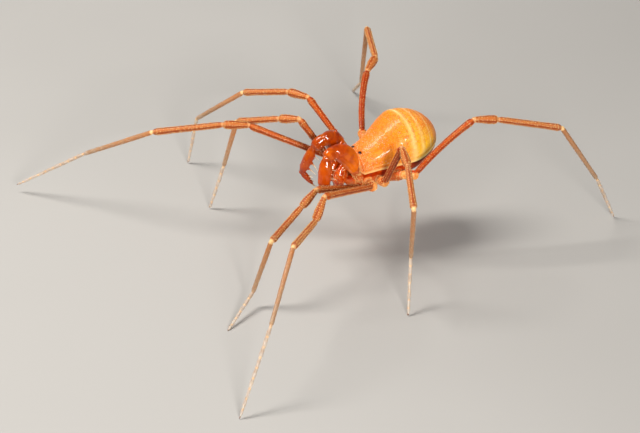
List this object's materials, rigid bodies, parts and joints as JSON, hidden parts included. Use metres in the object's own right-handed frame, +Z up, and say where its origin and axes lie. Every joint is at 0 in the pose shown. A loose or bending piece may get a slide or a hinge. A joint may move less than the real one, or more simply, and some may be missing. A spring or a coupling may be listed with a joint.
{
  "type": "harvestman",
  "caption": "Life-size still model of an orange armoured harvestman standing on its long legs, one of the second pair held up as a feeler.",
  "frame": {"origin": "middle of the model's footprint, on the floor that its feet stand on", "axes": "+Z up, the animal faces -Y, and its left side is towards +X"},
  "size_m": [0.0246, 0.0266, 0.0078],
  "materials": {
    "head_plate": "finely pebbled orange shell, satin",
    "banded_plate": "granular orange and yellow shell with cream lines, satin",
    "soft_underside": "folded red-brown skin, dull",
    "coxae": "ridged pale orange shell, satin",
    "eye": "dark red-brown, polished",
    "mouthparts": "amber shell, glossy",
    "leg": "orange-brown granular shell with cream joints, satin",
    "shank": "pale brown hairy shell, dull",
    "foot": "grey-white ringed and hairy shell, dull"
  },
  "bodies": {
    "root": {"head_shield": "head_plate", "abdomen_shield": "banded_plate", "abdomen_underside": "soft_underside", "abdomen_rear_plates": "banded_plate", "head_underside": "coxae", "eye_left": "eye", "eye_right": "eye", "chelicera_left_base": "mouthparts", "chelicera_left_hand": "mouthparts", "pedipalp_left_femur": "mouthparts", "pedipalp_left_patella": "mouthparts", "pedipalp_left_tibia": "mouthparts", "pedipalp_left_tarsus": "mouthparts", "leg_left_1_femur": "leg", "leg_left_1_patella": "leg", "leg_left_1_tibia": "leg", "leg_left_1_metatarsus": "shank", "leg_left_1_tarsus": "foot", "leg_left_2_femur": "leg", "leg_left_2_patella": "leg", "leg_left_2_tibia": "leg", "leg_left_2_metatarsus": "shank", "leg_left_2_tarsus": "foot", "leg_left_3_femur": "leg", "leg_left_3_patella": "leg", "leg_left_3_tibia": "leg", "leg_left_3_metatarsus": "shank", "leg_left_3_tarsus": "foot", "leg_left_4_femur": "leg", "leg_left_4_patella": "leg", "leg_left_4_tibia": "leg", "leg_left_4_metatarsus": "shank", "leg_left_4_tarsus": "foot", "chelicera_right_base": "mouthparts", "chelicera_right_hand": "mouthparts", "pedipalp_right_femur": "mouthparts", "pedipalp_right_patella": "mouthparts", "pedipalp_right_tibia": "mouthparts", "pedipalp_right_tarsus": "mouthparts", "leg_right_1_femur": "leg", "leg_right_1_patella": "leg", "leg_right_1_tibia": "leg", "leg_right_1_metatarsus": "shank", "leg_right_1_tarsus": "foot", "leg_right_2_femur": "leg", "leg_right_2_patella": "leg", "leg_right_2_tibia": "leg", "leg_right_2_metatarsus": "shank", "leg_right_2_tarsus": "foot", "leg_right_3_femur": "leg", "leg_right_3_patella": "leg", "leg_right_3_tibia": "leg", "leg_right_3_metatarsus": "shank", "leg_right_3_tarsus": "foot", "leg_right_4_femur": "leg", "leg_right_4_patella": "leg", "leg_right_4_tibia": "leg", "leg_right_4_metatarsus": "shank", "leg_right_4_tarsus": "foot"}
  },
  "joints": []
}
